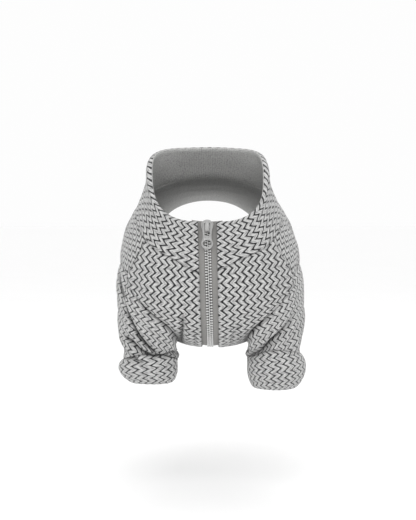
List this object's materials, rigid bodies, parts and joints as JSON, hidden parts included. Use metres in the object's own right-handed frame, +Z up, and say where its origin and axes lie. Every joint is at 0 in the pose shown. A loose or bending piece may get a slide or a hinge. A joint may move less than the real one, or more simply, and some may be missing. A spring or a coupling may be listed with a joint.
{
  "type": "dog shirt",
  "caption": "Dog's short-sleeved shirt in grey zigzag knit, stand collar, full front zip with a hinged pull, bloused leg cuffs, shown as worn.",
  "frame": {"origin": "on the inner face of the back at the middle of the withers, where the shirt rests on the wearer", "axes": "+X to the right of someone facing the chest (the wearer's left), +Y from the chest to the tail, +Z up"},
  "size_m": [0.2012, 0.3488, 0.2558],
  "materials": {
    "zigzag_knit": "thick jacquard knit, pale grey marl with a dark zigzag line, matt and a little fluffy",
    "zip_tape": "mid grey woven polyester tape, matt",
    "zip_teeth": "pale grey moulded acetal teeth",
    "zip_metal": "grey lacquer on a cast zinc slider and pull, satin"
  },
  "bodies": {
    "garment": {"collar": "zigzag_knit", "front_left": "zigzag_knit", "front_right": "zigzag_knit", "back": "zigzag_knit", "sleeve_left": "zigzag_knit", "sleeve_right": "zigzag_knit", "cuff_left": "zigzag_knit", "cuff_right": "zigzag_knit", "zip_tape_left": "zip_tape", "zip_tape_right": "zip_tape", "zip_chain": "zip_teeth", "zip_slider": "zip_metal"},
    "pull_tab": {"zip_pull": "zip_metal"}
  },
  "joints": [
    {"name": "pull_flip", "type": "hinge", "parent": "garment", "child": "pull_tab", "pos_m": [-0.0009, -0.11934, -0.04567], "axis": [-1, 0, 0], "range_deg": [0, 165]}
  ]
}
